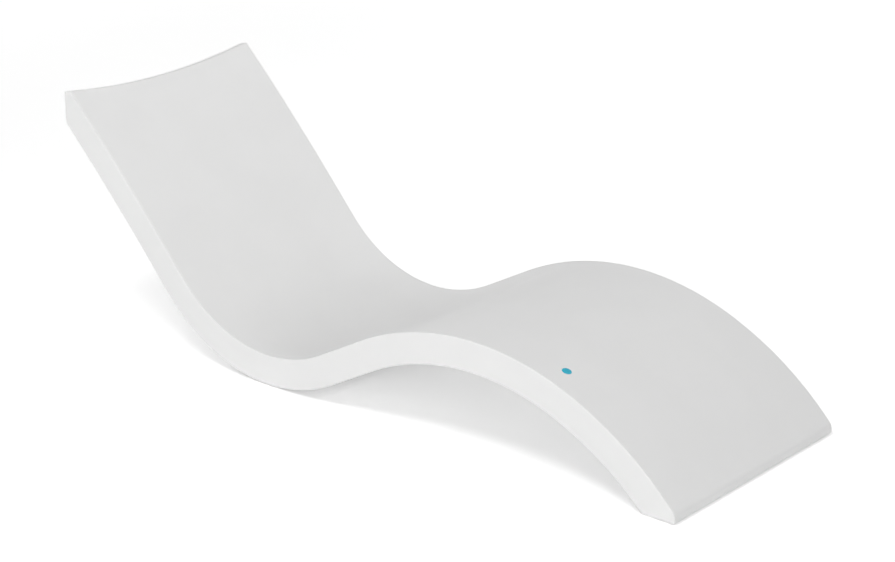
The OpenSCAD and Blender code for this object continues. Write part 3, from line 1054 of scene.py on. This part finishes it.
# A disc with a countersunk hole and round grooves in its sole, as one closed path carried round its axis.
def makePad(node, pad):
    form, radius, thick = soleForm, padForm["radius"], padForm["thick"]
    low, high, depth, rounding = (form["groove" + part] for part in ("Low", "High", "Depth", "Rounding"))
    corners = [
        [form["hole"], thick, form["holeRounding"]],
        [form["hole"], form["mouthTop"], 0],
        [form["mouth"], form["mouthLow"], 0],
        [form["mouth"], 0, form["mouthRounding"]],
    ]
    for groove in form["grooves"]:
        corners += [[groove - low, 0, rounding], [groove - high, depth, 0]]
        corners += [[groove + high, depth, 0], [groove + low, 0, rounding]]
    corners += [[radius, 0, form["lowRounding"]], [radius, thick, form["topRounding"]]]
    points, faces = turned(softPath(corners, 3), form["spokes"], closed=True)
    makePiece(node, placed(points, padBase(pad), up), faces, padRubber, sharpAngle=35)


# A countersunk head with a hexagon socket (its radius is half the width over the cosine of the angle to the
# flat's middle), and a threaded shank.
def makeScrew(form):
    spokes, rows = form["spokes"], form["threadRows"]
    hexAngle = 2 * np.pi * np.arange(spokes) / spokes
    hexRadius = form["socket"] / np.cos((hexAngle + np.pi / 6) % (np.pi / 3) - np.pi / 6)
    low, end, floor = form["low"], form["end"], form["low"] + form["socketDepth"]
    head, headTop, headEdge = form["head"], form["headTop"], form["headEdge"]
    shank, endEdge = form["shank"], form["endEdge"]
    wall = np.column_stack([np.full(rows, shank), np.linspace(headTop + headEdge, end - endEdge, rows)])
    path = np.vstack([
        [[0, floor + form["drillDepth"]], [0, floor], [0, floor], [0, low + form["socketEdge"]], [0, low]],
        [[head - headEdge, low], [head, low + headEdge], [shank + 10 * hair, headTop]],
        wall,
        [[shank - endEdge, end], [0, end]],
    ])
    radius = threaded(path, spokes, {**screwThread, "radius": shank})
    radius[1] = form["socket"] * form["drillShare"]
    radius[2:4] = hexRadius
    radius[4] = hexRadius + form["socketEdge"]
    return turned(path, spokes, radius)


# A blind insert: a threaded bore, and outside a knurl of triangle waves that shift by half from row to row.
def makeAnchor(form):
    spokes, threadRows, knurlRows = form["spokes"], form["threadRows"], form["knurlRows"]
    low, end, margin = form["low"], form["end"], form["knurlMargin"]
    bore, boreEnd, outside = form["bore"], form["boreEnd"], form["radius"]
    threadEnds = boreEnd - form["threadEnd"], low + form["mouth"]
    boreWall = np.column_stack([np.full(threadRows, bore), np.linspace(*threadEnds, threadRows)])
    knurl = np.column_stack([np.full(knurlRows, outside), np.linspace(low + margin, end - margin, knurlRows)])
    path = np.vstack([
        [[0, boreEnd], [bore - form["boreEdge"], boreEnd]],
        boreWall,
        [[bore + form["mouth"], low], [outside - form["lowEdge"], low]],
        [[outside - hair, low + form["lowEdge"]]],
        knurl,
        [[outside - hair, end - form["endEdge"]], [outside - form["endEdge"], end], [0, end]],
    ])
    thread = {**screwThread, "radius": bore, "depth": -screwThread["depth"]}
    radius = threaded(path, spokes, thread)
    rows = np.flatnonzero(np.isclose(path[:, 0], outside, atol=hair / 1000))[1:-1]
    wave = np.arange(spokes) * form["knurls"] / spokes + np.arange(len(rows))[:, None] / 2
    radius[rows] -= form["knurlDepth"] * np.abs(2 * (wave % 1) - 1)
    return turned(path, spokes, radius)


# Four copies of a turned solid, one at each pad, as one piece.
def makeAtPads(node, solid, material):
    points, faces = solid
    points, faces = joined([(placed(points, padBase(pad), up), faces) for pad in pads.values()])
    makePiece(node, points, faces, material)


for node, pad in pads.items():
    makePad(node, pad)
makeAtPads("pad_screws", makeScrew(screwForm), stainless)
makeAtPads("pad_anchors", makeAnchor(anchorForm), brass)
print("pads made")


# A disc with rounded edges: its half section carried round its axis.
def makeRoundel(form):
    radius, top, low = form["radius"], -form["sink"], -form["sink"] - form["thick"]
    corners = [[0, low, 0], [radius, low, form["lowRounding"]], [radius, top, form["topRounding"]]]
    path = np.vstack([softPath(corners + [[radius / 2, top, 0]], 3), [[0, top]]])
    points, faces = turned(path, form["spokes"])
    points = placed(points, roundelPlace["origin"], roundelPlace["outward"])
    makePiece("roundel", points, faces, roundelPlastic, sharpAngle=35)


makeRoundel(roundelForm)
print("roundel made")


# Places and sizes in metres, power in watts.
studio = {
    "floorHalf": 60,
    "floor": 0.9,
    "floorGlow": 0.43,  # adds to what is seen of the floor, so that it turns white away from the shadow
    "farGlow": 1,
    "glowReach": (2.5, 9),  # from where to where the floor's glow rises to farGlow
    "paintedShadowReach": 0.03,  # reach in metres of the painted contact shadow, where ambient occlusion darkens the floor's glow next to the lounger
    "paintedShadowGlow": 0.28,  # what is left of the floor's glow in that painted shadow
    "horizon": 0.5,
    "zenith": 0,
    "target": (0, 0, 0.25),  # what the lamps face
    "lamps": [
        {"name": "toe", "place": (6.5, -2.5, 2.2), "size": 3, "power": 121},
        {"name": "frontLow", "place": (0, -6, 0.6), "size": 2, "power": 92},
        {"name": "frontHigh", "place": (0, -2.6, 5), "size": 1.5, "power": 90},
        {"name": "backLow", "place": (0, 6, 0.6), "size": 2, "power": 60},
        {"name": "backHigh", "place": (0, 4.5, 4.5), "size": 3, "power": 60},
        {"name": "head", "place": (-7, 0, 1.2), "size": 3, "power": 80},
        {"name": "overhead", "place": (0, 0, 6), "size": 9, "power": 71},
    ],
}


def makeFloor():
    half = studio["floorHalf"]
    mesh = bpy.data.meshes.new("floor")
    corners = [(-half, -half, 0), (half, -half, 0), (half, half, 0), (-half, half, 0)]
    mesh.from_pydata(corners, [], [(0, 1, 2, 3)])
    floor = bpy.data.objects.new("floor", mesh)
    bpy.context.scene.collection.objects.link(floor)
    board = Board(bpy.data.materials.new("floor"))
    paper = board.add("ShaderNodeBsdfDiffuse", None, {"Color": grey(studio["floor"])})
    reach = board.add("ShaderNodeVectorMath", {"operation": "LENGTH"}, {0: board.objectPlace()}, "Value")
    far = board.ramp(reach, *studio["glowReach"])
    glow = board.mix(far, grey(studio["floorGlow"]), grey(studio["farGlow"]))
    # Painted shadow: ambient occlusion darkens the floor's camera-only glow near the lounger, as a dark
    # contact line.
    clear = board.add("ShaderNodeAmbientOcclusion", None, {"Distance": studio["paintedShadowReach"]}, "AO")
    glow = board.mix(clear, grey(studio["paintedShadowGlow"]), glow)
    shine = board.add("ShaderNodeEmission", None, {"Color": glow})
    lit = board.add("ShaderNodeAddShader", None, {0: paper, 1: shine})
    shown = board.add("ShaderNodeMixShader", None, {0: board.seen(), 1: paper, 2: lit})
    board.add("ShaderNodeOutputMaterial", None, {"Surface": shown})
    mesh.materials.append(board.owner)


# Soft light from all round, dimmer overhead, behind a white background.
def makeWorld():
    world = bpy.data.worlds.new("studio")
    bpy.context.scene.world = world
    board = Board(world)
    direction = board.add("ShaderNodeTexCoord", None, None, "Generated")
    height = board.add("ShaderNodeSeparateXYZ", None, {0: direction}, 2)
    light = board.mix(board.ramp(height, 0, 1), grey(studio["horizon"]), grey(studio["zenith"]))
    sky = board.add("ShaderNodeBackground", None, {"Color": board.mix(board.seen(), light, grey(1))})
    board.add("ShaderNodeOutputWorld", None, {"Surface": sky})


def makeLamp(lamp):
    data = bpy.data.lights.new(lamp["name"], "AREA")
    data.shape = "DISK"
    data.size = lamp["size"]
    data.energy = lamp["power"]
    light = bpy.data.objects.new(lamp["name"], data)
    light.location = lamp["place"]
    light.visible_glossy = False  # so that no lamp shows as a glare on the smooth plastic
    light.rotation_euler = (Vector(studio["target"]) - light.location).to_track_quat("-Z", "Y").to_euler()
    bpy.context.scene.collection.objects.link(light)


makeFloor()
makeWorld()
for lamp in studio["lamps"]:
    makeLamp(lamp)
print("studio made")


shot = {
    "place": (3.441159, -4.025489, 2.184271),
    "azimuth": 40.134,
    "elevation": 20.222,
    "lens": 96.846,
    "sensor": 36,
}


def makeCamera():
    data = bpy.data.cameras.new("camera")
    data.lens = shot["lens"]
    data.sensor_width = shot["sensor"]
    camera = bpy.data.objects.new("camera", data)
    azimuth, elevation = math.radians(shot["azimuth"]), math.radians(shot["elevation"])
    level = math.cos(elevation)
    back = Vector((math.sin(azimuth) * level, -math.cos(azimuth) * level, math.sin(elevation)))
    camera.location = shot["place"]
    camera.rotation_euler = (-back).to_track_quat("-Z", "Y").to_euler()
    bpy.context.scene.collection.objects.link(camera)
    bpy.context.scene.camera = camera


makeCamera()
print("camera made")
bpy.context.scene.view_settings.view_transform = "Standard"

bpy.context.view_layer.update()
